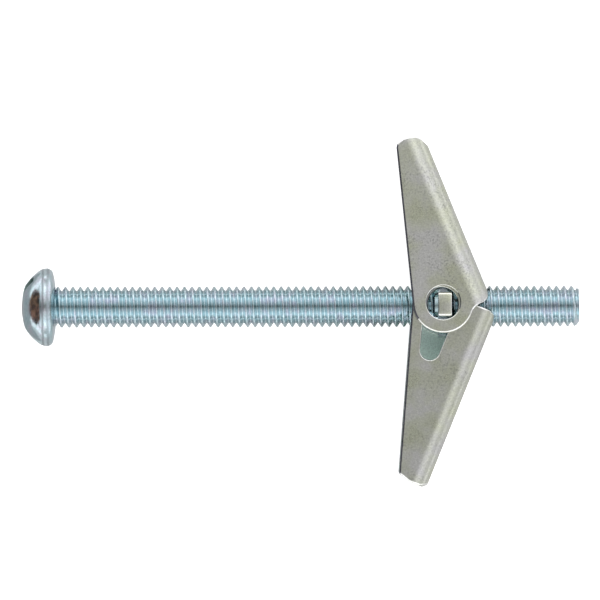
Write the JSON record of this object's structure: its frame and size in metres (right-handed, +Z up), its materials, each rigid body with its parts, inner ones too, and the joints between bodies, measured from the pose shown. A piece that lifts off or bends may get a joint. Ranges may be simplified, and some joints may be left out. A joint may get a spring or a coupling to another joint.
{
  "type": "spring toggle bolt",
  "caption": "Zinc-plated toggle bolt: fully threaded slotted round-head screw, trunnion nut and two spring-opened channel wings that fold along the screw.",
  "frame": {"origin": "middle of the head's bearing face, on the screw's axis", "axes": "+X along the screw from the head towards its end, +Y towards the tip of the upper wing, +Z up, along the wings' hinges, with the bolt lying on its side"},
  "size_m": [0.1057, 0.0654, 0.016],
  "materials": {
    "bright_zinc": "bright clear zinc plating on steel, glossy with a faint blue tint",
    "sheet_zinc": "zinc plating on pressed sheet steel, satin with a faint yellow-grey tint",
    "spring_wire": "plated spring steel wire, satin"
  },
  "bodies": {
    "screw": {"machine_screw": "bright_zinc"},
    "nut": {"trunnion_nut": "bright_zinc", "torsion_spring": "spring_wire"},
    "upper_wing": {"wing_upper": "sheet_zinc"},
    "lower_wing": {"wing_lower": "sheet_zinc"}
  },
  "joints": [
    {"name": "toggle_travel", "type": "slide", "parent": "screw", "child": "nut", "axis": [1, 0, 0], "range_m": [-0.0381, 0.02399]},
    {"name": "wing_upper_fold", "type": "hinge", "parent": "nut", "child": "upper_wing", "pos_m": [0.07344, 0.00032, 0], "axis": [0, 0, 1], "range_deg": [0, 75], "stiffness_Nm_per_rad": 0.06, "springref_deg": -34.38, "deforming": ["torsion_spring"]},
    {"name": "wing_lower_fold", "type": "hinge", "parent": "nut", "child": "lower_wing", "pos_m": [0.07305, 0.00005, 0], "axis": [0, 0, -1], "range_deg": [0, 76], "stiffness_Nm_per_rad": 0.06, "springref_deg": -34.38, "deforming": ["torsion_spring"]}
  ]
}
